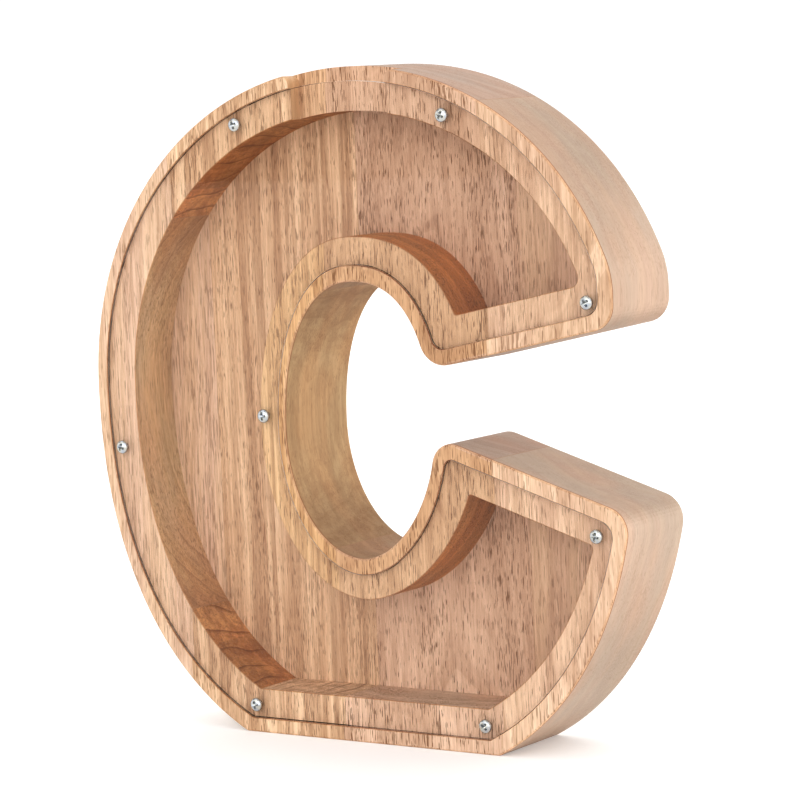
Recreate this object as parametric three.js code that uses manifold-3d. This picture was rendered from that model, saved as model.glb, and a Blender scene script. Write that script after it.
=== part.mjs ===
// A free-standing wooden money box shaped like a chunky letter C.
// Millimetres, +Z up, the window faces -Y. The origin is on the ground under the middle of the box.
//
// The body is a thick panel glued up edge to edge from upright staves and then cut to the letter.
// A cavity is routed from the front and closed by a clear sheet, let in flush and held by screws.

import * as THREE from 'three';
import Module from 'manifold-3d';
import { mergeVertices } from 'three/addons/utils/BufferGeometryUtils.js';

const wasm = await Module();
wasm.setup();

// ---------------------------------------------------------------- driving dimensions

const height = 210;
const depth = 34;
const headHeight = 1.5;
const back = (depth + headHeight) / 2;
const front = back - depth;

// The letter's two round curves, as ellipses with a reach and a fullness of their own in each quarter.
const outerCurve = {
  x: 3.15, z: 109,
  left: 102, right: 99.3, top: height - 109, bottom: 119.3,
  fullness: { upperLeft: 2.04, upperRight: 2.12, lowerLeft: 2.24, lowerRight: 2.3 },
};
const holeCurve = {
  x: 3.8, z: 97,
  left: 27.6, right: 28.1, top: 46.8, bottom: 39,
  fullness: { upperLeft: 2.16, upperRight: 2.4, lowerLeft: 1.98, lowerRight: 1.81 },
};
// The mouth of the C: a straight edge above it and one below it, given by height at x = 0 and slope.
const mouth = {
  above: { z: 110.87, slope: 0.207 },
  below: { z: 107.28, slope: -0.318 },
};
// The upper arm ends in a short upright edge.
const tipX = 96.7;

// How far an outline lies inside the letter's edge on each side, and the radii of its corners.
// The cavity is too narrow at the end of the upper arm to have the upright edge.
const letterEdge = {
  outer: { left: 0, right: 0, top: 0, bottom: 0 },
  hole: { left: 0, right: 0, top: 0, bottom: 0 },
  above: 0, below: 0, base: 0, tip: 0,
  radii: { tip: 28, upperArm: 8, lowerArm: 8, upperThroat: 8.5, lowerThroat: 7.2, base: 2.5 },
};
const rebateEdge = {
  outer: { left: 4, right: 4.6, top: 4.2, bottom: 5.4 },
  hole: { left: 2.5, right: 4.3, top: 5, bottom: 5 },
  above: 4.8, below: 4.8, base: 4.5, tip: 5,
  radii: { tip: 18, upperArm: 5, lowerArm: 5, upperThroat: 4, lowerThroat: 3, base: 1.2 },
};
const cavityEdge = {
  outer: { left: 14.8, right: 10.8, top: 13.6, bottom: 14.4 },
  hole: { left: 10.3, right: 14.8, top: 13.9, bottom: 12.9 },
  above: 14.1, below: 13.2, base: 13.9,
  radii: { upperArm: 3, lowerArm: 1.5, upperThroat: 1, lowerThroat: 1, base: 1 },
};

const cavityDepth = 21;
const windowSheet = { thickness: 2, edgeGap: 0.35, backGap: 0.1, shiftRight: 0.15, shiftUp: 0.1 };
const rebateDepth = windowSheet.thickness + windowSheet.backGap;

// The coin slot is a channel across the top wall, open to the front until the window covers it.
const coinSlot = { x: 1.55, width: 36, depth: 6.4, lipRadius: 3, bottom: 188 };

// Glue lines between the upright staves.
const glueLines = [-65.375, -6.375, 52.625];
const aboveMouth = 105;

const screw = {
  headRadius: 2.15, shankRadius: 1.1, length: 8, tip: 1.6,
  recess: { span: 2.5, width: 0.7, depth: 1.1 },
  windowHole: 1.45, pilotHole: 1.35, pilotDepth: 8.6,
};
const screws = [
  { name: 'top_left', x: -37.7, z: 192.9, turn: 20 },
  { name: 'top_right', x: 40.1, z: 193.9, turn: 65 },
  { name: 'upper_arm', x: 88.2, z: 138, turn: 35 },
  { name: 'lower_arm', x: 88.6, z: 69, turn: 80 },
  { name: 'bottom_right', x: 46.8, z: 8.9, turn: 50 },
  { name: 'bottom_left', x: -40.1, z: 8.9, turn: 10 },
  { name: 'left', x: -89.6, z: 90, turn: 70 },
  { name: 'ring', x: -31.7, z: 101.6, turn: 5 },
];

// ---------------------------------------------------------------- outlines of the letter

const outerSteps = 88;
const holeSteps = 64;
const cornerSteps = 5;

// A round curve, counter-clockwise, with each quarter's reach shortened (or lengthened) by an inset.
function roundCurve(curve, inset, fromDegrees, toDegrees, steps) {
  const points = [];
  for (let i = 0; i <= steps; i++) {
    const angle = THREE.MathUtils.degToRad(fromDegrees + ((toDegrees - fromDegrees) * i) / steps);
    const c = Math.cos(angle);
    const s = Math.sin(angle);
    const reachX = c > 0 ? curve.right - inset.right : curve.left - inset.left;
    const reachZ = s > 0 ? curve.top - inset.top : curve.bottom - inset.bottom;
    const side = c > 0 ? 'Right' : 'Left';
    const power = 2 / curve.fullness[(s > 0 ? 'upper' : 'lower') + side];
    points.push(new THREE.Vector2(
      curve.x + reachX * Math.sign(c) * Math.abs(c) ** power,
      curve.z + reachZ * Math.sign(s) * Math.abs(s) ** power,
    ));
  }
  return points;
}

// A straight edge of the mouth, moved into the arm's wood by an inset (positive is up).
function mouthEdge(edge, inset, xs) {
  const rise = inset * Math.hypot(1, edge.slope);
  return xs.map((x) => new THREE.Vector2(x, edge.z + edge.slope * x + rise));
}

// The same line of points moved to its left by a distance.
function offsetLeft(points, distance) {
  return points.map((point, i) => {
    const before = points[Math.max(i - 1, 0)];
    const after = points[Math.min(i + 1, points.length - 1)];
    const along = after.clone().sub(before).normalize();
    return new THREE.Vector2(point.x - along.y * distance, point.y + along.x * distance);
  });
}

// Where two lines of points cross first, as seen along the second one.
function crossing(first, second) {
  for (let j = 0; j + 1 < second.length; j++) {
    for (let i = 0; i + 1 < first.length; i++) {
      const a = first[i];
      const b = second[j];
      const r = first[i + 1].clone().sub(a);
      const s = second[j + 1].clone().sub(b);
      const area = r.cross(s);
      if (area === 0) continue;
      const gap = b.clone().sub(a);
      const t = gap.cross(s) / area;
      const u = gap.cross(r) / area;
      if (t >= 0 && t <= 1 && u >= 0 && u <= 1) return a.clone().addScaledVector(r, t);
    }
  }
  throw new Error('two edges of the outline do not meet');
}

// The point of a line of points that is nearest to a place, and the segment that it lies on.
function nearest(points, place) {
  let best = { distance: Infinity };
  for (let i = 0; i + 1 < points.length; i++) {
    const along = points[i + 1].clone().sub(points[i]);
    const t = THREE.MathUtils.clamp(place.clone().sub(points[i]).dot(along) / along.lengthSq(), 0, 1);
    const point = points[i].clone().addScaledVector(along, t);
    const distance = point.distanceTo(place);
    if (distance < best.distance) best = { distance, point, segment: i };
  }
  return best;
}

// Edges that run round the outline counter-clockwise, each joined to the next by a rounded corner.
function joinEdges(edges, radii) {
  const corners = edges.map((edge, i) => {
    const next = edges[(i + 1) % edges.length];
    const centre = crossing(offsetLeft(edge, radii[i]), offsetLeft(next, radii[i]));
    return { centre, leave: nearest(edge, centre), enter: nearest(next, centre), radius: radii[i] };
  });
  const outline = [];
  edges.forEach((edge, i) => {
    const start = corners[(i + edges.length - 1) % edges.length].enter;
    const { centre, leave, enter, radius } = corners[i];
    outline.push(start.point, ...edge.slice(start.segment + 1, leave.segment + 1));
    const from = leave.point.clone().sub(centre).angle();
    let sweep = enter.point.clone().sub(centre).angle() - from;
    if (sweep < 0) sweep += 2 * Math.PI;
    for (let k = 0; k < cornerSteps; k++) {
      const angle = from + (sweep * k) / cornerSteps;
      outline.push(new THREE.Vector2(Math.cos(angle), Math.sin(angle)).multiplyScalar(radius).add(centre));
    }
  });
  return outline.filter((point, i) => point.distanceTo(outline[(i + 1) % outline.length]) > 0.02);
}

// The whole letter, counter-clockwise seen from the front, drawn inside its edge by the given insets.
function letterOutline({ outer, hole, above, below, base, tip, radii }) {
  const grown = { left: -hole.left, right: -hole.right, top: -hole.top, bottom: -hole.bottom };
  const round = roundCurve(outerCurve, outer, 0, 252, outerSteps * 0.7);
  const heel = roundCurve(outerCurve, outer, 282, 360, outerSteps * 0.25);
  const foot = [new THREE.Vector2(-80, base), new THREE.Vector2(80, base)];
  const lowerArm = mouthEdge(mouth.below, -below, [120, 20]);
  const throat = roundCurve(holeCurve, grown, 10, 360, holeSteps).reverse();
  const upperArm = mouthEdge(mouth.above, above, [20, 120]);
  const edges = [round, foot, heel, lowerArm, throat, upperArm];
  const corners = [
    radii.base, radii.base, radii.lowerArm, radii.lowerThroat, radii.upperThroat, radii.upperArm,
  ];
  if (tip !== undefined) {
    edges.push([100, 180].map((z) => new THREE.Vector2(tipX - tip, z)));
    corners.push(radii.tip);
  }
  return joinEdges(edges, corners);
}

// ---------------------------------------------------------------- solids

function solidFrom(geometry) {
  geometry.deleteAttribute('normal');
  geometry.deleteAttribute('uv');
  const merged = mergeVertices(geometry, 1e-4);
  const triVerts = [];
  for (let i = 0; i < merged.index.count; i += 3) {
    const [a, b, c] = [0, 1, 2].map((k) => merged.index.getX(i + k));
    if (a !== b && b !== c && c !== a) triVerts.push(a, b, c);
  }
  return new wasm.Manifold(new wasm.Mesh({
    numProp: 3,
    vertProperties: new Float32Array(merged.attributes.position.array),
    triVerts: new Uint32Array(triVerts),
  }));
}

function geometryFrom(solid) {
  const { vertProperties, triVerts } = solid.getMesh();
  const geometry = new THREE.BufferGeometry();
  geometry.setAttribute('position', new THREE.BufferAttribute(vertProperties, 3));
  geometry.setIndex(new THREE.BufferAttribute(triVerts, 1));
  return geometry;
}

// A prism with its outline in the XZ plane, between two places along Y.
function prism(outline, fromY, toY) {
  const geometry = new THREE.ExtrudeGeometry(new THREE.Shape(outline), {
    depth: toY - fromY, bevelEnabled: false,
  });
  return solidFrom(geometry.rotateX(Math.PI / 2).translate(0, toY, 0));
}

function block([x0, y0, z0], [x1, y1, z1]) {
  const geometry = new THREE.BoxGeometry(x1 - x0, y1 - y0, z1 - z0);
  return solidFrom(geometry.translate((x0 + x1) / 2, (y0 + y1) / 2, (z0 + z1) / 2));
}

// A round bar along Y.
function bar(radius, x, z, fromY, toY, sides = 20) {
  const geometry = new THREE.CylinderGeometry(radius, radius, toY - fromY, sides);
  return solidFrom(geometry.translate(x, (fromY + toY) / 2, z));
}

// ---------------------------------------------------------------- the wooden body

// The channel for coins. Its two outer lips are rounded over into the top of the letter.
function coinChannel() {
  const { x, width, depth: slotDepth, lipRadius, bottom } = coinSlot;
  const letterTop = roundCurve(outerCurve, letterEdge.outer, 60, 120, 240);
  const topAt = (place) => nearest(letterTop, new THREE.Vector2(place, height)).point.y;
  const above = height + 5;
  const left = x - width / 2;
  const right = x + width / 2;
  const outline = [new THREE.Vector2(left, bottom), new THREE.Vector2(right, bottom)];
  const rightLip = topAt(right + lipRadius) - lipRadius;
  const leftLip = topAt(left - lipRadius) - lipRadius;
  for (let k = 0; k <= cornerSteps; k++) {
    const angle = Math.PI - (Math.PI / 2) * (k / cornerSteps);
    outline.push(new THREE.Vector2(
      right + lipRadius + lipRadius * Math.cos(angle),
      rightLip + lipRadius * Math.sin(angle),
    ));
  }
  outline.push(new THREE.Vector2(right + lipRadius, above), new THREE.Vector2(left - lipRadius, above));
  for (let k = 0; k <= cornerSteps; k++) {
    const angle = Math.PI / 2 - (Math.PI / 2) * (k / cornerSteps);
    outline.push(new THREE.Vector2(
      left - lipRadius + lipRadius * Math.cos(angle),
      leftLip + lipRadius * Math.sin(angle),
    ));
  }
  return prism(outline, front - 1, front + slotDepth);
}

function body() {
  let wood = prism(letterOutline(letterEdge), front, back)
    .subtract(prism(letterOutline(rebateEdge), front - 1, front + rebateDepth))
    .subtract(prism(letterOutline(cavityEdge), front - 1, front + cavityDepth))
    .subtract(coinChannel());
  for (const { x, z } of screws) {
    wood = wood.subtract(bar(screw.pilotHole, x, z, front, front + rebateDepth + screw.pilotDepth));
  }
  return wood;
}

// ---------------------------------------------------------------- window and screws

function windowPane() {
  const gap = windowSheet.edgeGap;
  const widen = (sides) => Object.fromEntries(Object.entries(sides).map(([key, value]) => [key, value + gap]));
  const outline = letterOutline({
    outer: widen(rebateEdge.outer),
    hole: widen(rebateEdge.hole),
    above: rebateEdge.above + gap,
    below: rebateEdge.below + gap,
    base: rebateEdge.base + gap,
    tip: rebateEdge.tip + gap,
    radii: rebateEdge.radii,
  });
  let pane = prism(outline, front, front + windowSheet.thickness)
    .translate([windowSheet.shiftRight, 0, windowSheet.shiftUp]);
  for (const { x, z } of screws) {
    pane = pane.subtract(bar(screw.windowHole, x, z, front - 1, front + windowSheet.thickness + 1));
  }
  return pane;
}

// A screw with the underside of its head at y = 0 and its tip towards +Y.
function screwSolid() {
  const { headRadius, shankRadius, length, tip, recess } = screw;
  const rim = headHeight * 0.35;
  const profile = [
    [0, -headHeight], [headRadius * 0.55, -headHeight * 0.95], [headRadius * 0.85, -headHeight * 0.72],
    [headRadius, -rim], [headRadius, 0], [shankRadius, 0], [shankRadius, length - tip], [0, length],
  ];
  const lathe = new THREE.LatheGeometry(profile.map(([r, y]) => new THREE.Vector2(r, y)), 20);
  const cutY = [-headHeight - 1, recess.depth - headHeight];
  const half = recess.span / 2;
  const slot = recess.width / 2;
  return solidFrom(lathe)
    .subtract(block([-half, cutY[0], -slot], [half, cutY[1], slot]))
    .subtract(block([-slot, cutY[0], -half], [slot, cutY[1], half]));
}

// ---------------------------------------------------------------- materials and assembly

const wood = (color) => new THREE.MeshStandardMaterial({ color, roughness: 0.6, metalness: 0 });
const acrylic = new THREE.MeshStandardMaterial({
  color: 0xf4f6f5, roughness: 0.05, metalness: 0, transparent: true, opacity: 0.25,
});
const zinc = new THREE.MeshStandardMaterial({ color: 0xc9ccd0, roughness: 0.3, metalness: 1 });

const moneyBox = new THREE.Group();

function addMesh(name, geometry, material) {
  const mesh = new THREE.Mesh(geometry, material);
  mesh.name = name;
  moneyBox.add(mesh);
  return mesh;
}

// The panel's blocks: one for each stave, two where the mouth of the C cuts a stave in half.
const left = outerCurve.x - outerCurve.left - 5;
const right = outerCurve.x + outerCurve.right + 5;
const top = height + 5;
const blocks = [
  { name: 'stave_left', x: [left, glueLines[0]], z: [-5, top], color: 0xd2a67c },
  { name: 'stave_centre_left', x: [glueLines[0], glueLines[1]], z: [-5, top], color: 0xd9ac82 },
  { name: 'stave_centre_right_upper', x: [glueLines[1], glueLines[2]], z: [aboveMouth, top], color: 0xcf9f79 },
  { name: 'stave_centre_right_lower', x: [glueLines[1], glueLines[2]], z: [-5, aboveMouth], color: 0xcf9f79 },
  { name: 'stave_right_upper', x: [glueLines[2], right], z: [aboveMouth, top], color: 0xd8ab84 },
  { name: 'stave_right_lower', x: [glueLines[2], right], z: [-5, aboveMouth], color: 0xd8ab84 },
];
const panel = body();
for (const { name, x, z, color } of blocks) {
  const cut = block([x[0], front - 1, z[0]], [x[1], back + 1, z[1]]);
  addMesh(name, geometryFrom(panel.intersect(cut)), wood(color));
}

addMesh('front_window', geometryFrom(windowPane()), acrylic);

const screwShape = geometryFrom(screwSolid());
for (const { name, x, z, turn } of screws) {
  const mesh = addMesh(`window_screw_${name}`, screwShape.clone(), zinc);
  mesh.position.set(x, front, z);
  mesh.rotation.y = THREE.MathUtils.degToRad(turn);
}

export default moneyBox;
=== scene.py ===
"""A wooden money box shaped like a chunky letter C: its looks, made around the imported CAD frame.

Outlines are drawn in millimetres in the XZ plane, counter-clockwise seen from the front, which faces
-Y. Meshes are in metres.
"""

import math

import bmesh
import bpy
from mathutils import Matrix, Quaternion, Vector


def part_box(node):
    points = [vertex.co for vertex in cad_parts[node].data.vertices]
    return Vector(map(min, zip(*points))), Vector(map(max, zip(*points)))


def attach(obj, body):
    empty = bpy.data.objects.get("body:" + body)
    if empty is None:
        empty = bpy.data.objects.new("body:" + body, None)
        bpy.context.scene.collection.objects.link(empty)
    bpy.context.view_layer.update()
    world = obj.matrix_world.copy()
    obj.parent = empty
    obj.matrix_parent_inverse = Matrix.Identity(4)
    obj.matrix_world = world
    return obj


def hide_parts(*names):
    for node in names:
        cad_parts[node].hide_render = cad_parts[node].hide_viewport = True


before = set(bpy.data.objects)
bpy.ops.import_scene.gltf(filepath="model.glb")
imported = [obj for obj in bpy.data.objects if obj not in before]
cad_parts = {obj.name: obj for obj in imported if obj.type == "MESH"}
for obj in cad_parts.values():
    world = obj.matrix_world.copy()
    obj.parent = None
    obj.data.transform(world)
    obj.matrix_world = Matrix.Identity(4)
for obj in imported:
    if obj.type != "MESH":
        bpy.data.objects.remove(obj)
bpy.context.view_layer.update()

MM = 0.001


# ---------------------------------------------------------------- driving dimensions, in millimetres

def millimetres(box):
    """A box's two corners in millimetres."""
    return box[0] / MM, box[1] / MM


WINDOW_LOW, WINDOW_HIGH = millimetres(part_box("front_window"))
STAVE_LOW, STAVE_HIGH = millimetres(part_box("stave_centre_left"))

FRONT = WINDOW_LOW.y
BACK = STAVE_HIGH.y
HEIGHT = STAVE_HIGH.z
GLUE_LINES = (STAVE_LOW.x, STAVE_HIGH.x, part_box("stave_right_upper")[0].x / MM)
ABOVE_MOUTH = 105

# The letter's two round curves, as ellipses with a reach and a fullness of their own in each quarter.
OUTER_CURVE = {
    "x": 3.15, "z": 109,
    "left": 102, "right": 99.3, "top": HEIGHT - 109, "bottom": 119.3,
    "fullness": {"upper left": 2.04, "upper right": 2.12, "lower left": 2.24, "lower right": 2.3},
}
HOLE_CURVE = {
    "x": 3.8, "z": 97,
    "left": 27.6, "right": 28.1, "top": 46.8, "bottom": 39,
    "fullness": {"upper left": 2.16, "upper right": 2.4, "lower left": 1.98, "lower right": 1.81},
}
# The mouth's two straight edges: height at x = 0, and slope. The upper arm ends in an upright edge.
MOUTH_ABOVE = (110.87, 0.207)
MOUTH_BELOW = (107.28, -0.318)
TIP_X = 96.7

# How far an outline lies inside the letter's edge on each side, and the radii of its corners.
LETTER_EDGE = {
    "outer": {"left": 0, "right": 0, "top": 0, "bottom": 0},
    "hole": {"left": 0, "right": 0, "top": 0, "bottom": 0},
    "above": 0, "below": 0, "base": 0, "tip": 0,
    "radii": {"tip": 28, "upper arm": 8, "lower arm": 8, "upper throat": 8.5, "lower throat": 7.2,
              "base": 2.5},
}
REBATE_EDGE = {
    "outer": {"left": 4, "right": 4.6, "top": 4.2, "bottom": 5.4},
    "hole": {"left": 2.5, "right": 4.3, "top": 5, "bottom": 5},
    "above": 4.8, "below": 4.8, "base": 4.5, "tip": 5,
    "radii": {"tip": 18, "upper arm": 5, "lower arm": 5, "upper throat": 4, "lower throat": 3,
              "base": 1.2},
}
CAVITY_EDGE = {
    "outer": {"left": 14.8, "right": 10.8, "top": 13.6, "bottom": 14.4},
    "hole": {"left": 10.3, "right": 14.8, "top": 13.9, "bottom": 12.9},
    "above": 14.1, "below": 13.2, "base": 13.9, "tip": None,
    "radii": {"upper arm": 3, "lower arm": 1.5, "upper throat": 1, "lower throat": 1, "base": 1},
}

EDGE_RADIUS = 0.8
REBATE_DEPTH = 2.1
CAVITY_DEPTH = 21
EDGE_BREAK = 0.22
SHEET_GAP = 0.2
SHEET_SHIFT = (0.12, 0.06)
SHEET_THICKNESS = WINDOW_HIGH.y - WINDOW_LOW.y

# The coin slot is a channel across the top wall, open to the front until the window covers it.
SLOT = {"x": 1.55, "width": 36, "depth": 6.4, "lip radius": 3, "bottom": 188}

SCREWS = {
    name: sum(millimetres(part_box(f"window_screw_{name}")), Vector()) / 2
    for name in ("top_left", "top_right", "upper_arm", "lower_arm",
                 "bottom_right", "bottom_left", "left", "ring")
}
PILOT_HOLE = 1.35
PILOT_DEPTH = 10.7
WINDOW_HOLE = 1.45

OUTER_STEPS = 300
HOLE_STEPS = 180
CORNER_STEPS = 10


# ---------------------------------------------------------------- outlines of the letter

def round_curve(curve, inset, start, end, steps):
    """A round curve, counter-clockwise, with each quarter's reach shortened by an inset."""
    points = []
    for i in range(steps + 1):
        angle = math.radians(start + (end - start) * i / steps)
        c, s = math.cos(angle), math.sin(angle)
        side = "right" if c > 0 else "left"
        level = "upper" if s > 0 else "lower"
        end_z = "top" if s > 0 else "bottom"
        power = 2 / curve["fullness"][f"{level} {side}"]
        points.append(Vector((
            curve["x"] + math.copysign(abs(c) ** power, c) * (curve[side] - inset[side]),
            curve["z"] + math.copysign(abs(s) ** power, s) * (curve[end_z] - inset[end_z]),
        )))
    return points


def mouth_edge(edge, inset, xs):
    """A straight edge of the mouth, moved into the arm's wood by an inset (positive is up)."""
    z, slope = edge
    return [Vector((x, z + slope * x + inset * math.hypot(1, slope))) for x in xs]


def offset_left(points, distance):
    """The same open line of points moved to its left."""
    moved = []
    for i, point in enumerate(points):
        along = (points[min(i + 1, len(points) - 1)] - points[max(i - 1, 0)]).normalized()
        moved.append(point + Vector((-along.y, along.x)) * distance)
    return moved


def cross(a, b):
    return a.x * b.y - a.y * b.x


def crossing(first, second):
    """Where two lines of points cross first, as seen along the second one."""
    for c, d in zip(second, second[1:]):
        for a, b in zip(first, first[1:]):
            r, s, gap = b - a, d - c, c - a
            area = cross(r, s)
            if area and 0 <= cross(gap, s) / area <= 1 and 0 <= cross(gap, r) / area <= 1:
                return a + r * cross(gap, s) / area
    raise ValueError("two edges of the outline do not meet")


def nearest(points, place):
    """The point of a line of points that is nearest to a place, and the segment that it lies on."""
    best = (math.inf, None, 0)
    for i, (a, b) in enumerate(zip(points, points[1:])):
        along = b - a
        share = min(max((place - a).dot(along) / along.length_squared, 0), 1)
        point = a + along * share
        best = min(best, ((place - point).length, point, i), key=lambda found: found[0])
    return best[1], best[2]


def join_edges(edges, radii):
    """Edges that run round the outline counter-clockwise, each joined to the next by a round corner."""
    corners = []
    for edge, after, radius in zip(edges, edges[1:] + edges[:1], radii):
        centre = crossing(offset_left(edge, radius), offset_left(after, radius))
        corners.append((centre, nearest(edge, centre), nearest(after, centre), radius))
    outline = []
    for i, edge in enumerate(edges):
        start, first = corners[i - 1][2]
        centre, (leave, last), (enter, _), radius = corners[i]
        outline += [start, *edge[first + 1:last + 1]]
        turn = Vector((1, 0))
        begin = turn.angle_signed(leave - centre) * -1
        sweep = (turn.angle_signed(enter - centre) * -1 - begin) % (2 * math.pi)
        for k in range(CORNER_STEPS):
            angle = begin + sweep * k / CORNER_STEPS
            outline.append(centre + Vector((math.cos(angle), math.sin(angle))) * radius)
    return [p for p, after in zip(outline, outline[1:] + outline[:1]) if (p - after).length > 0.02]


def letter_outline(edge):
    """The whole letter, drawn inside its edge by the edge's insets."""
    outer, radii = edge["outer"], edge["radii"]
    grown = {side: -inset for side, inset in edge["hole"].items()}
    edges = {
        "base": round_curve(OUTER_CURVE, outer, 0, 252, int(OUTER_STEPS * 0.7)),
        "foot": [Vector((-80, edge["base"])), Vector((80, edge["base"]))],
        "lower arm": round_curve(OUTER_CURVE, outer, 282, 360, int(OUTER_STEPS * 0.25)),
        "lower throat": mouth_edge(MOUTH_BELOW, -edge["below"], (120, 20)),
        "upper throat": round_curve(HOLE_CURVE, grown, 10, 360, HOLE_STEPS)[::-1],
        "upper arm": mouth_edge(MOUTH_ABOVE, edge["above"], (20, 120)),
    }
    if edge["tip"] is not None:
        edges["tip"] = [Vector((TIP_X - edge["tip"], z)) for z in (100, 180)]
    return join_edges(list(edges.values()), [radii.get(name, radii["base"]) for name in edges])


def inset_outline(outline, distance):
    """A closed outline moved inwards, or outwards by a negative distance."""
    moved = []
    for before, point, after in zip(outline[-1:] + outline[:-1], outline, outline[1:] + outline[:1]):
        one, two = (point - before).normalized(), (after - point).normalized()
        left = Vector((-one.y - two.y, one.x + two.x))
        moved.append(point + left * (distance / (1 + one.dot(two))))
    return moved


# ---------------------------------------------------------------- solids

def link(name, mesh):
    piece = bpy.data.objects.new(name, mesh)
    bpy.context.scene.collection.objects.link(piece)
    return piece


def loft(name, rings):
    """A closed solid through outlines at places along Y, given as (y, outline) from front to back."""
    count = len(rings[0][1])
    points = [(p.x * MM, y * MM, p.y * MM) for y, outline in rings for p in outline]
    faces = [tuple(range(count)), tuple(range(len(points) - 1, len(points) - count - 1, -1))]
    for k in range(len(rings) - 1):
        near, far = k * count, (k + 1) * count
        faces += [(near + i, far + i, far + (i + 1) % count, near + (i + 1) % count)
                  for i in range(count)]
    mesh = bpy.data.meshes.new(name)
    mesh.from_pydata(points, [], faces)
    return link(name, mesh)


def circle(centre, radius, sides=32):
    turns = (2 * math.pi * k / sides for k in range(sides))
    return [centre + Vector((math.cos(a), math.sin(a))) * radius for a in turns]


def discard(piece):
    mesh = piece.data
    bpy.data.objects.remove(piece)
    bpy.data.meshes.remove(mesh)


def apply_modifiers(piece):
    evaluated = piece.evaluated_get(bpy.context.evaluated_depsgraph_get())
    mesh = bpy.data.meshes.new_from_object(evaluated)
    piece.modifiers.clear()
    piece.data = mesh


def cut_away(solid, *cutters):
    """Cuts the cutters out of the solid and removes them."""
    for cutter in cutters:
        modifier = solid.modifiers.new("cut", "BOOLEAN")
        modifier.operation = "DIFFERENCE"
        modifier.solver = "MANIFOLD"
        modifier.object = cutter
    apply_modifiers(solid)
    for cutter in cutters:
        discard(cutter)


def smooth(piece, angle=30):
    """Smooth shading that keeps edges sharper than the angle, with flat faces left flat."""
    for polygon in piece.data.polygons:
        polygon.use_smooth = True
    piece.data.set_sharp_from_angle(angle=math.radians(angle))
    weighted = piece.modifiers.new("flat faces", "WEIGHTED_NORMAL")
    weighted.keep_sharp = True
    apply_modifiers(piece)


# ---------------------------------------------------------------- the wooden body

def slot_outline():
    """The coin channel. Its two outer lips are rounded over into the top of the letter."""
    top_line = round_curve(OUTER_CURVE, LETTER_EDGE["outer"], 60, 120, 240)
    radius = SLOT["lip radius"]
    left, right = SLOT["x"] - SLOT["width"] / 2, SLOT["x"] + SLOT["width"] / 2
    above = HEIGHT + 5

    def lip(x, start, end):
        z = nearest(top_line, Vector((x, HEIGHT)))[0].y - radius
        turns = (math.radians(start + (end - start) * k / CORNER_STEPS) for k in range(CORNER_STEPS + 1))
        return [Vector((x + radius * math.cos(a), z + radius * math.sin(a))) for a in turns]

    return [
        Vector((left, SLOT["bottom"])), Vector((right, SLOT["bottom"])),
        *lip(right + radius, 180, 90), Vector((right + radius, above)),
        Vector((left - radius, above)), *lip(left - radius, 90, 0),
    ]


def rounded_panel():
    """The panel cut to the letter, its front and back edges sanded round."""
    outline = letter_outline(LETTER_EDGE)
    steps = 5
    rings = []
    for k in range(steps + 1):
        angle = math.pi / 2 * k / steps
        inset = inset_outline(outline, EDGE_RADIUS * (1 - math.sin(angle)))
        rings.append((EDGE_RADIUS * (1 - math.cos(angle)), inset))
    front = [(FRONT + y, ring) for y, ring in rings]
    back = [(BACK - y, ring) for y, ring in reversed(rings)]
    return loft("panel", front + back)


def recess(name, edge, mouth_y, floor_y):
    """A cutter for a recess whose rim has a small broken edge."""
    outline = letter_outline(edge)
    flared = inset_outline(outline, -EDGE_BREAK)
    return loft(name, [
        (mouth_y - 1, flared), (mouth_y, flared), (mouth_y + EDGE_BREAK, outline), (floor_y, outline),
    ])


def body():
    panel = rounded_panel()
    ledge = FRONT + REBATE_DEPTH
    slot = slot_outline()
    cut_away(
        panel,
        recess("rebate", REBATE_EDGE, FRONT, ledge),
        recess("cavity", CAVITY_EDGE, ledge, FRONT + CAVITY_DEPTH),
        loft("slot", [(FRONT - 1, slot), (FRONT + SLOT["depth"], slot)]),
        *(loft("pilot", [(FRONT + 1, ring), (FRONT + PILOT_DEPTH, ring)])
          for ring in (circle(Vector((at.x, at.z)), PILOT_HOLE) for at in SCREWS.values())),
    )
    return panel


def stave(name, panel, low, high, upper=None):
    """The part of the panel between two glue lines, above or below the mouth if it says which."""
    grid = bmesh.new()
    grid.from_mesh(panel.data)
    for x, side in ((low, -1), (high, 1)):
        if x is None:
            continue
        geometry = grid.verts[:] + grid.edges[:] + grid.faces[:]
        bmesh.ops.bisect_plane(
            grid, geom=geometry, plane_co=(x * MM, 0, 0), plane_no=(side, 0, 0), clear_outer=True,
        )
        rim = [edge for edge in grid.edges if edge.is_boundary]
        bmesh.ops.holes_fill(grid, edges=rim, sides=0)
    if upper is not None:
        spare = [v for v in grid.verts if (v.co.z > ABOVE_MOUTH * MM) != upper]
        bmesh.ops.delete(grid, geom=spare, context="VERTS")
    mesh = bpy.data.meshes.new(name)
    grid.to_mesh(mesh)
    grid.free()
    piece = link(name, mesh)
    tint_faces(piece)
    return piece


# How the finish of a face changes the wood's colour: sanded outside, and cut by a router in the hole and the
# cavity, where it scorched the end grain. The tints also hold painted shade and light: darker in the hole,
# in the cavity and on faces that look up or down, lighter on the front, and a painted shadow on the rebate's
# wall.
# A pair of tints is for side grain and for end grain.
TINT = "finish_and_shade_tint"
# Outside: end grain, and a painted shade that darkens faces looking up or down.
SANDED_AND_SHADED = ((0.87, 0.96, 1.09), (0.70, 0.75, 0.83))
# The hole's walls: router cut, and darker for a painted shade inside the hole.
HOLE_CUT_AND_SHADE = ((0.80, 0.79, 0.67), (0.62, 0.57, 0.46))
# The cavity's walls: scorched end grain, and darker and oranger for a painted shade inside the cavity.
CAVITY_CUT_AND_SHADE = ((0.93, 0.94, 0.80), (0.75, 0.51, 0.28))
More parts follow.
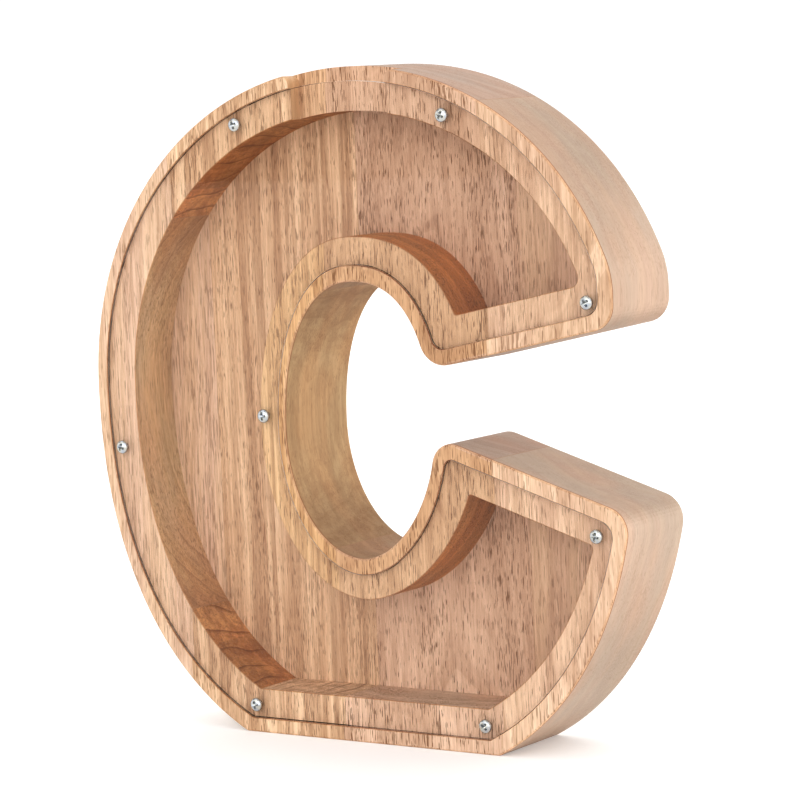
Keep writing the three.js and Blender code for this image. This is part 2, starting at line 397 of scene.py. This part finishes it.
# The cavity's walls round the hole: scorched end grain, and a painted shade.
RING_CUT_AND_SHADE = ((0.72, 0.51, 0.29), (0.90, 0.60, 0.28))
RING_FRONT = (0.96, 0.93, 0.81)
# The front face: lighter and paler, a painted wash of light.
FRONT_PAINTED_LIGHT = (1.0, 1.04, 1.08)
PLAIN = (1, 1, 1)
CAVITY_BASE = (0.93, 0.98, 1.0)
OUTER_EDGE = (0.99, 0.97, 0.93)
# The broken edges round the recesses: darker, a painted shade.
RECESS_EDGE_SHADE = (0.80, 0.64, 0.46)
# The rebate's wall beside the window's gap: dark brown, a painted shadow in the gap.
REBATE_GAP_SHADOW = (0.50, 0.30, 0.17)
SLOT_WALL = (0.92, 0.88, 0.80)

# How rough the cut is, from 0 for sanded to 1.
CAVITY_ROUGH = 1.0
HOLE_ROUGH = 0.3

# Where the finishes are, in millimetres: reaches from the hole's centre, and limits along X and Z.
RING_REACH, RING_RIGHT = 66, 45
HOLE_REACH, HOLE_RIGHT = 50, 32
CAVITY_BASE_TOP = 20
PALE_STRIP = 9
NEAR = 0.1

# How much of a face's normal lies along Y, at least, for a flat face and for a broken edge.
FLAT_FACE = 0.97
BROKEN_EDGE = 0.3


def block_shade(x):
    """The end grain's shade on the cavity's wall: the first block is dark, the next starts with a strip."""
    if x < GLUE_LINES[0]:
        return 0.86
    return 1.26 if x < GLUE_LINES[0] + PALE_STRIP else 0.98


def smooth_step(value, low, high):
    share = min(max((value - low) / (high - low), 0), 1)
    return share * share * (3 - 2 * share)


def finish_and_shade_tint(face, depths):
    """The tint of one face of the body, for its finish and for painted shade and light, and how rough its
    cut is. depths are its corners' y.
    """
    normal, x, z = face.normal, face.center.x / MM, face.center.z / MM
    outwards = Vector((x - HOLE_CURVE["x"], z - HOLE_CURVE["z"]))
    near_ring = outwards.length < RING_REACH
    if abs(normal.y) > FLAT_FACE:
        if near_ring and x < RING_RIGHT and max(depths) < FRONT + REBATE_DEPTH + NEAR:
            return (*RING_FRONT, 0)
        # the front face takes a painted wash of light
        return (*(FRONT_PAINTED_LIGHT if max(depths) < FRONT + NEAR else PLAIN), 0)
    recessed = min(depths) > FRONT + REBATE_DEPTH - NEAR and max(depths) < FRONT + CAVITY_DEPTH + NEAR
    if abs(normal.y) > BROKEN_EDGE:
        # the recesses' rims take a painted shade
        return (*(RECESS_EDGE_SHADE if recessed else OUTER_EDGE), 0)
    if max(depths) < FRONT + REBATE_DEPTH + NEAR:
        # the rebate's wall takes a painted shadow for the window's gap
        return (*REBATE_GAP_SHADOW, 0)
    if max(depths) < FRONT + SLOT["depth"] + NEAR and z > SLOT["bottom"] - 1:
        return (*SLOT_WALL, 0)
    if recessed and z < CAVITY_BASE_TOP and normal.z > 0.99:
        return (*CAVITY_BASE, CAVITY_ROUGH)
    # the cavity, the ring round the hole, the hole and the outside: finish with painted shade, darker where
    # a face looks up or down
    if recessed and near_ring and outwards.x * normal.x + outwards.y * normal.z > 0:
        (side, end), rough = RING_CUT_AND_SHADE, CAVITY_ROUGH
    elif recessed:
        side, end, rough = CAVITY_CUT_AND_SHADE[0], Vector(CAVITY_CUT_AND_SHADE[1]) * block_shade(x), CAVITY_ROUGH
    elif outwards.length < HOLE_REACH and x < HOLE_RIGHT:
        (side, end), rough = HOLE_CUT_AND_SHADE, HOLE_ROUGH
    else:
        (side, end), rough = SANDED_AND_SHADED, 0
    return (*Vector(side).lerp(Vector(end), smooth_step(abs(normal.z), 0.2, 0.8)), rough)


def tint_faces(piece):
    mesh = piece.data
    tint = mesh.attributes.new(TINT, "FLOAT_COLOR", "FACE")
    for face in mesh.polygons:
        depths = [mesh.vertices[i].co.y / MM for i in face.vertices]
        tint.data[face.index].color = finish_and_shade_tint(face, depths)


STAVES = {
    "stave_left": (None, GLUE_LINES[0], None),
    "stave_centre_left": (GLUE_LINES[0], GLUE_LINES[1], None),
    "stave_centre_right_upper": (GLUE_LINES[1], GLUE_LINES[2], True),
    "stave_centre_right_lower": (GLUE_LINES[1], GLUE_LINES[2], False),
    "stave_right_upper": (GLUE_LINES[2], None, True),
    "stave_right_lower": (GLUE_LINES[2], None, False),
}


# ---------------------------------------------------------------- window

def window_sheet():
    """The clear sheet: the rebate's outline less a gap all round, with its sawn edges just broken."""
    gap = SHEET_GAP
    edge = {
        **REBATE_EDGE,
        "outer": {side: inset + gap for side, inset in REBATE_EDGE["outer"].items()},
        "hole": {side: inset + gap for side, inset in REBATE_EDGE["hole"].items()},
        **{side: REBATE_EDGE[side] + gap for side in ("above", "below", "base", "tip")},
    }
    outline = [p + Vector(SHEET_SHIFT) for p in letter_outline(edge)]
    broken = 0.15
    small = inset_outline(outline, broken)
    back = FRONT + SHEET_THICKNESS
    sheet = loft("acrylic_window", [
        (FRONT, small), (FRONT + broken, outline), (back - broken, outline), (back, small),
    ])
    cut_away(sheet, *(
        loft("hole", [(FRONT - 1, ring), (back + 1, ring)])
        for ring in (circle(Vector((at.x, at.z)), WINDOW_HOLE) for at in SCREWS.values())
    ))
    return sheet


# ---------------------------------------------------------------- screws

SCREW = {
    "head": 2.15, "rim": 0.4, "dome": 1.06, "steps": 8, "sides": 40,
    "core": 0.78, "thread": 0.3, "pitch": 1.1, "length": 8, "point": 2.2,
    "recess": 1.5, "wing": 0.4, "depth": 1.25,
}
SCREW_TURNS = {
    "top_left": 20, "top_right": 65, "upper_arm": 35, "lower_arm": 80,
    "bottom_right": 50, "bottom_left": 10, "left": 70, "ring": 5,
}


def shank_radius(along, turn):
    """The threaded shank's radius at a place along it from its point, and at a turn from 0 to 1."""
    thick = min(along / SCREW["point"], 1) ** 0.6
    phase = (along / SCREW["pitch"] - turn) % 1
    ridge = max(0, 1 - abs(phase - 0.5) * 5)
    return max(thick * (SCREW["core"] + SCREW["thread"] * ridge), 0.03)


def cross_outline(reach, wing):
    """A cross-shaped outline, counter-clockwise."""
    arm = [Vector((reach, -wing)), Vector((reach, wing)), Vector((wing, wing))]
    points = []
    for quarter in range(4):
        c, s = round(math.cos(quarter * math.pi / 2)), round(math.sin(quarter * math.pi / 2))
        points += [Vector((c * p.x - s * p.y, s * p.x + c * p.y)) for p in arm]
    return points


def screw(name, at, turn):
    """A domed cross-recess screw, its head standing on the window at FRONT."""
    sides, rings = SCREW["sides"], []
    count = int(SCREW["length"] / 0.14)
    for k in range(count + 1):
        along = SCREW["length"] * k / count
        rings.append((FRONT + SCREW["length"] - along, [
            shank_radius(along, i / sides) for i in range(sides)
        ]))
    rings.append((FRONT, [SCREW["head"] - 0.1] * sides))
    rings.append((FRONT - 0.08, [SCREW["head"]] * sides))
    for k in range(SCREW["steps"]):
        rise = math.pi / 2 * k / SCREW["steps"]
        radius = SCREW["head"] * math.cos(rise)
        rings.append((FRONT - SCREW["rim"] - SCREW["dome"] * math.sin(rise), [radius] * sides))
    centre = Vector((at.x, at.z))
    tilt = math.radians(turn)
    outlines = [
        (y, [centre + Vector((math.cos(tilt + 2 * math.pi * i / sides),
                              math.sin(tilt + 2 * math.pi * i / sides))) * radius
             for i, radius in enumerate(radii)])
        for y, radii in reversed(rings)
    ]
    piece = loft(name, outlines)
    top = FRONT - SCREW["rim"] - SCREW["dome"]

    def turned(points):
        c, s = math.cos(tilt), math.sin(tilt)
        return [centre + Vector((c * p.x - s * p.y, s * p.x + c * p.y)) for p in points]

    cut_away(piece, loft("recess", [
        (top - 0.2, turned(cross_outline(SCREW["recess"] * 1.1, SCREW["wing"] * 1.1))),
        (top + SCREW["depth"] * 0.75, turned(cross_outline(SCREW["recess"] * 0.5, SCREW["wing"] * 0.6))),
        (top + SCREW["depth"], turned(cross_outline(SCREW["recess"] * 0.12, SCREW["wing"] * 0.2))),
    ]))
    return piece


# ---------------------------------------------------------------- materials

class Graph:
    """A node tree being written. Each call adds a node and returns the output that it is wanted for."""

    def __init__(self, owner):
        owner.use_nodes = True
        self.owner = owner
        self.nodes = owner.node_tree.nodes
        self.links = owner.node_tree.links
        self.nodes.clear()

    def add(self, kind, inputs=None, output=0, **settings):
        node = self.nodes.new(f"ShaderNode{kind}")
        for key, value in settings.items():
            setattr(node, key, value)
        for key, value in (inputs or {}).items():
            if isinstance(value, bpy.types.NodeSocket):
                self.links.new(value, node.inputs[key])
            else:
                node.inputs[key].default_value = value
        return node.outputs[output] if node.outputs else None

    def math(self, operation, *values):
        return self.add("Math", dict(enumerate(values)), operation=operation)

    def vector(self, operation, *values, output=0):
        return self.add("VectorMath", dict(enumerate(values)), output, operation=operation)

    def scaled(self, vector, x, y, z):
        return self.vector("MULTIPLY", vector, (x, y, z))

    def ease(self, value, low, high, to_low=0.0, to_high=1.0):
        """A smooth step from to_low to to_high as the value goes from low to high."""
        inputs = {0: value, 1: low, 2: high, 3: to_low, 4: to_high}
        return self.add("MapRange", inputs, interpolation_type="SMOOTHSTEP")

    def noise(self, vector, detail=2.0, roughness=0.5, output=0):
        inputs = {"Vector": vector, "Scale": 1.0, "Detail": detail, "Roughness": roughness}
        return self.add("TexNoise", inputs, output)

    def noise_along(self, value, detail=2.0, roughness=0.5):
        """Noise that changes along one number only."""
        inputs = {"W": value, "Scale": 1.0, "Detail": detail, "Roughness": roughness}
        return self.add("TexNoise", inputs, noise_dimensions="1D")

    def mix(self, share, one, two, blend="MIX"):
        inputs = {0: share, 6: one, 7: two}
        return self.add("Mix", inputs, 2, data_type="RGBA", blend_type=blend)

    def surface(self, shader):
        self.add("OutputMaterial", {"Surface": shader})
        return self.owner


def new_material(name):
    return Graph(bpy.data.materials.new(name))


VEIN_COLOR = (0.36, 0.175, 0.09, 1)
GLUE_COLOR = (0.42, 0.24, 0.13, 1)
VESSEL_COLOR = (0.21, 0.10, 0.045, 1)


def wood(name, light, dark, joints, pith, lean, zones, pores, fleck, streaks, offset):
    """Rubberwood with its grain upright: growth zones round a leaning pith, fibres and open vessels.

    Everything is worked out in the solid, in millimetres, so that a sawn end shows the same vessels and
    zones as the faces beside it. pith is the pith's x and y at the foot, and lean how far it moves along
    them for each millimetre of height. zones, pores and streaks are strengths, 0 for none, fleck is the
    width and length of the vessels' openings, and offset picks the place in the noise. joints are the
    glued edges' places along X.
    """
    g = new_material(name)
    place = g.scaled(g.add("TexCoord", output="Object"), 1 / MM, 1 / MM, 1 / MM)
    solid = g.vector("ADD", place, offset)
    facing = g.add("SeparateXYZ", {0: g.add("NewGeometry", output="Normal")}, 1)
    side = g.ease(g.math("ABSOLUTE", facing), 0.3, 0.8, 1, 0)
    tint = g.add("Attribute", attribute_name=TINT)
    smoothed = g.math("MULTIPLY", side, g.math("SUBTRACT", 1.0, tint.node.outputs["Alpha"]))

    # growth zones round the pith, and the dark arcs between the years
    drift = g.noise(g.scaled(solid, 0.03, 0.03, 0.008), 2, output="Color")
    drift = g.scaled(g.vector("SUBTRACT", drift, (0.5, 0.5, 0.5)), 16, 16, 0)
    height = g.add("SeparateXYZ", {0: place}, 2)
    axis = g.add("CombineXYZ", {
        0: g.math("MULTIPLY_ADD", height, lean[0], pith[0]),
        1: g.math("MULTIPLY_ADD", height, lean[1], pith[1]),
        2: height,
    })
    radius = g.vector("DISTANCE", g.vector("ADD", place, drift), axis, output="Value")
    zone = g.ease(g.noise_along(g.math("MULTIPLY", radius, 0.14), 2, 0.55), 0.38, 0.62)
    line = g.ease(g.noise_along(g.math("MULTIPLY", radius, 0.9), 3, 0.7), 0.35, 0.68)
    year = g.math("MULTIPLY_ADD", radius, 0.17, g.noise_along(g.math("MULTIPLY", radius, 0.05)))
    year = g.math("FRACT", year)
    arc = g.ease(year, 0.02, 0.2, 1, 0)
    arc = g.math("MULTIPLY", arc, g.ease(g.noise(g.scaled(solid, 0.05, 0.05, 0.012), 1), 0.32, 0.5))

    # fibres, soft long streaks and a few thin dark lines along the grain
    fibre = g.ease(g.noise(g.scaled(solid, 1.8, 1.8, 0.09), 4, 0.75), 0.32, 0.68)
    band = g.ease(g.noise(g.scaled(solid, 0.30, 0.30, 0.004), 3, 0.65), 0.38, 0.64)
    vein = g.noise(g.scaled(solid, 0.3, 0.3, 0.006), 2, 0.6)
    vein = g.ease(g.math("ABSOLUTE", g.math("SUBTRACT", vein, 0.5)), 0.002, 0.016, 1, 0)
    vein = g.math("MULTIPLY", vein, g.ease(g.noise(g.scaled(solid, 0.12, 0.12, 0.03), 1), 0.5, 0.62))

    # vessels: long thin tubes along the grain that a face opens as dashes, and a sawn end as dots
    wide, long = fleck
    opened = g.noise(g.scaled(solid, 1 / wide, 1 / wide, 1 / long), 1, 0.6)
    crowd = g.noise(g.scaled(solid, 0.11, 0.11, 0.02), 1)
    crowd = g.math("MULTIPLY_ADD", g.ease(crowd, 0.35, 0.65), 0.07, g.math("MULTIPLY", zone, 0.03))
    pore = g.ease(g.math("ADD", opened, crowd), 0.65, 0.69, 0, pores)
    pore = g.math("MULTIPLY", pore, g.ease(smoothed, 0, 1, 1, 0.3))

    # colour: zones, lighter towards the foot as a painted light from below, lines along the grain, the
    # finish with its painted shade and light, glue and vessels
    share = g.math("MULTIPLY", zone, g.ease(smoothed, 0, 1, zones, zones * 0.5))
    color = g.mix(share, (*light, 1), (*dark, 1))
    tone = g.ease(g.noise(g.scaled(solid, 0.025, 0.025, 0.008), 2), 0.3, 0.7, 0.94, 1.06)
    # lighter towards the foot: a painted light from below
    tone = g.math("MULTIPLY", tone, g.ease(height, 9, 30, 1.17, 1))
    lines = g.math("MULTIPLY", g.ease(line, 0, 1, 1.04, 1 - 0.10 * zones), g.ease(fibre, 0, 1, 0.84, 1.1))
    lines = g.math("MULTIPLY", lines, g.ease(band, 0, 1, 1 - 0.22 * streaks, 1 + 0.1 * streaks))
    arc = g.math("MULTIPLY", arc, g.ease(tint.node.outputs["Alpha"], 0.4, 1, 0.14, 0.5 * streaks))
    lines = g.math("MULTIPLY", lines, g.math("SUBTRACT", 1.0, arc))
    lines = g.math("POWER", lines, g.ease(smoothed, 0, 1, 1, 0.3))
    shade = g.math("MULTIPLY", tone, lines)
    color = g.vector("MULTIPLY", color, g.add("CombineXYZ", {
        0: g.math("POWER", shade, 0.75), 1: shade, 2: g.math("POWER", shade, 1.2),
    }))
    vein = g.math("MULTIPLY", vein, g.ease(side, 0, 1, streaks * 0.7, streaks * 0.2))
    color = g.mix(vein, color, VEIN_COLOR)
    patch = g.ease(g.noise(g.scaled(solid, 0.035, 0.06, 0.02), 2), 0.35, 0.65)
    patch = g.mix(patch, (0.95, 0.99, 1.02, 1), (1.05, 1.0, 0.98, 1))
    color = g.mix(side, color, g.mix(1.0, color, patch, "MULTIPLY"))
    # the face's tint: its finish, with painted shade and light
    color = g.mix(1.0, color, tint, "MULTIPLY")
    across = g.add("SeparateXYZ", {0: place})
    for joint in joints:
        gap = g.math("ABSOLUTE", g.math("SUBTRACT", across, joint))
        color = g.mix(g.ease(gap, 0.04, 0.2, 0.6, 0), color, GLUE_COLOR)
    color = g.mix(pore, color, VESSEL_COLOR)

    # finish
    rough = g.ease(fibre, 0, 1, 0.52, 0.62)
    rough = g.math("ADD", rough, g.math("MULTIPLY", pore, 0.25))
    dips = g.math("MULTIPLY_ADD", pore, -1.0, g.math("MULTIPLY", fibre, 0.35))
    relief = g.add("Bump", {"Strength": 0.6, "Distance": 0.12 * MM, "Height": dips})
    shader = g.add("BsdfPrincipled", {
        "Base Color": color, "Roughness": rough, "Normal": relief, "Specular IOR Level": 0.35,
    })
    return g.surface(shader)


LIGHT_WOOD = (0.70, 0.485, 0.325)
STAVE_WOOD = {
    "stave_left": dict(
        light=LIGHT_WOOD, dark=(0.66, 0.45, 0.32), pith=(-150, 60), lean=(0.03, 0.0),
        zones=0.7, pores=0.45, fleck=(0.45, 6), streaks=0.4, offset=(0, 0, 0),
    ),
    "stave_centre_left": dict(
        light=(0.68, 0.46, 0.292), dark=(0.57, 0.35, 0.205), pith=(-150, 5), lean=(0.02, 0.01),
        zones=0.6, pores=0.65, fleck=(0.38, 4.5), streaks=1.1, offset=(300, 50, 700),
    ),
    "stave_centre_right": dict(
        light=(0.66, 0.445, 0.31), dark=(0.52, 0.32, 0.205), pith=(20, 40), lean=(0.02, 0.06),
        zones=0.7, pores=0.85, fleck=(0.36, 4.5), streaks=0.3, offset=(700, 150, 200),
    ),
    "stave_right": dict(
        light=LIGHT_WOOD, dark=(0.65, 0.435, 0.30), pith=(90, 50), lean=(-0.05, 0.05),
        zones=0.8, pores=0.55, fleck=(0.45, 6), streaks=0.5, offset=(1100, 20, 1500),
    ),
}


def acrylic():
    """Clear sheet with matt sawn edges: real refraction for what is seen, clear to the lamps' light."""
    g = new_material("clear_acrylic")
    inside = g.add("BsdfRefraction", {"IOR": 1.49, "Roughness": 0})
    gloss = g.add("BsdfGlossy", {"Roughness": 0.02})
    mirror = g.math("MULTIPLY", g.add("Fresnel", {"IOR": 1.49}), 0.5)
    seen = g.add("MixShader", {0: mirror, 1: inside, 2: gloss})
    normal = g.add("NewGeometry", output="Normal")
    facing = g.add("SeparateXYZ", {0: normal}, 1)
    sawn = g.ease(g.math("ABSOLUTE", facing), 0.2, 0.5, 0.85, 0)
    sawn = g.math("MULTIPLY", sawn, g.math("SUBTRACT", 1.0, normal.node.outputs["Backfacing"]))
    grit = g.noise(g.scaled(g.add("TexCoord", output="Object"), 0.9 / MM, 0.9 / MM, 0.9 / MM), 2)
    matt = g.mix(grit, (0.55, 0.60, 0.60, 1), (0.88, 0.92, 0.92, 1))
    matt = g.add("BsdfPrincipled", {"Base Color": matt, "Roughness": 0.45})
    seen = g.add("MixShader", {0: sawn, 1: seen, 2: matt})
    clear = g.add("BsdfTransparent", {"Color": (0.97, 0.97, 0.97, 1)})
    for_light = g.math("MAXIMUM", g.add("LightPath", output="Is Shadow Ray"),
                       g.add("LightPath", output="Is Diffuse Ray"))
    return g.surface(g.add("MixShader", {0: for_light, 1: seen, 2: clear}))


def zinc():
    """Bright zinc plating, a little uneven, with a faint blue and yellow bloom."""
    g = new_material("bright_zinc")
    place = g.scaled(g.add("TexCoord", output="Object"), 1 / MM, 1 / MM, 1 / MM)
    bloom = g.ease(g.noise(g.scaled(place, 0.9, 0.9, 0.9), 2), 0.35, 0.65)
    color = g.mix(bloom, (0.50, 0.53, 0.57, 1), (0.60, 0.59, 0.54, 1))
    grit = g.noise(g.scaled(place, 6, 6, 6), 3, 0.7)
    relief = g.add("Bump", {"Strength": 0.25, "Distance": 0.03 * MM, "Height": grit})
    return g.surface(g.add("BsdfPrincipled", {
        "Base Color": color, "Metallic": 1, "Roughness": g.ease(grit, 0.3, 0.7, 0.16, 0.3), "Normal": relief,
    }))


def lit_paper():
    """The pale floor, lit a little from beneath."""
    g = new_material("pale_floor")
    return g.surface(g.add("BsdfPrincipled", {
        "Base Color": (0.78, 0.78, 0.78, 1), "Roughness": 0.9, "Specular IOR Level": 0.1,
        "Emission Color": (1, 1, 1, 1), "Emission Strength": 0.25,
    }))


# ---------------------------------------------------------------- the object

def finish(piece, material, body, slot, *nodes):
    """Gives a piece its material and its place in the frame."""
    piece.data.materials.clear()
    piece.data.materials.append(material)
    smooth(piece)
    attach(piece, body)
    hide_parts(*nodes)


panel = body()
woods = {
    name: wood(f"{name}_rubberwood", joints=joints, **STAVE_WOOD[name])
    for name, joints in zip(STAVE_WOOD, (GLUE_LINES[:1], GLUE_LINES[:2], GLUE_LINES[1:], GLUE_LINES[2:]))
}
for name, (low, high, upper) in STAVES.items():
    material = woods[name.removesuffix("_upper").removesuffix("_lower")]
    finish(stave(f"{name}_wood", panel, low, high, upper), material, "box", "wood", name)
discard(panel)

finish(window_sheet(), acrylic(), "window", "window", "front_window")

bright = zinc()
for name, at in SCREWS.items():
    piece = screw(f"window_screw_{name}_head", at, SCREW_TURNS[name])
    finish(piece, bright, f"screw_{name}", "screw", f"window_screw_{name}")


# ---------------------------------------------------------------- camera, light and floor

def camera():
    data = bpy.data.cameras.new("camera")
    data.sensor_width = 36
    data.lens = 146.02
    data.clip_end = 10
    seen_from = Vector((0.58046, -0.82432, 0.21062))
    looks_at = Vector((0.01393, -0.00687, 0.10666))
    roll = Quaternion((0, 0, 1), math.radians(-2.52))
    piece = bpy.data.objects.new("camera", data)
    piece.rotation_mode = "QUATERNION"
    piece.rotation_quaternion = (looks_at - seen_from).to_track_quat("-Z", "Y") @ roll
    piece.location = seen_from
    bpy.context.scene.collection.objects.link(piece)
    bpy.context.scene.camera = piece


def direction(azimuth, elevation):
    """The unit vector from the object to a place round it: azimuth 0 is in front, 90 to the right."""
    a, e = math.radians(azimuth), math.radians(elevation)
    return Vector((math.sin(a) * math.cos(e), -math.cos(a) * math.cos(e), math.sin(e)))


def floor():
    mesh = bpy.data.meshes.new("floor")
    size = 4
    mesh.from_pydata([(-size, -size, 0), (size, -size, 0), (size, size, 0), (-size, size, 0)], [],
                     [(0, 1, 2, 3)])
    mesh.materials.append(lit_paper())
    link("floor", mesh)


def studio():
    """A white tent round the object, brighter or darker in some directions, and white to the camera."""
    world = bpy.data.worlds.new("studio")
    g = Graph(world)
    towards = g.add("TexCoord", output="Generated")
    strength = TENT
    for azimuth, elevation, half_width, change in TENT_LOBES:
        aligned = g.vector("DOT_PRODUCT", towards, direction(azimuth, elevation), output="Value")
        edge = math.cos(math.radians(half_width))
        strength = g.math("ADD", strength, g.ease(aligned, edge, 1, 0, change))
    light = g.add("Background", {"Color": (1, 1, 1, 1), "Strength": strength})
    backdrop = g.add("Background", {"Color": (1, 1, 1, 1), "Strength": 1.1})
    seen = g.add("LightPath", output="Is Camera Ray")
    g.add("OutputWorld", {"Surface": g.add("MixShader", {0: seen, 1: light, 2: backdrop})})
    bpy.context.scene.world = world


# The tent's light, and where it changes: azimuth, elevation and half width in degrees, and the change.
TENT = 1.51
TENT_LOBES = (
    (-36, 4, 24, -1.3),
    (12, 0, 62, 0.85),
    (0, 90, 50, -0.35),
    (-75, 35, 17, -1.3),
    (15, 58, 15, -1.3),
    (78, 30, 14, -1.3),
    (35, 28, 9, -1.2),
)

camera()
floor()
studio()
bpy.context.scene.view_settings.view_transform = "Standard"
bpy.context.scene.view_settings.gamma = 0.8
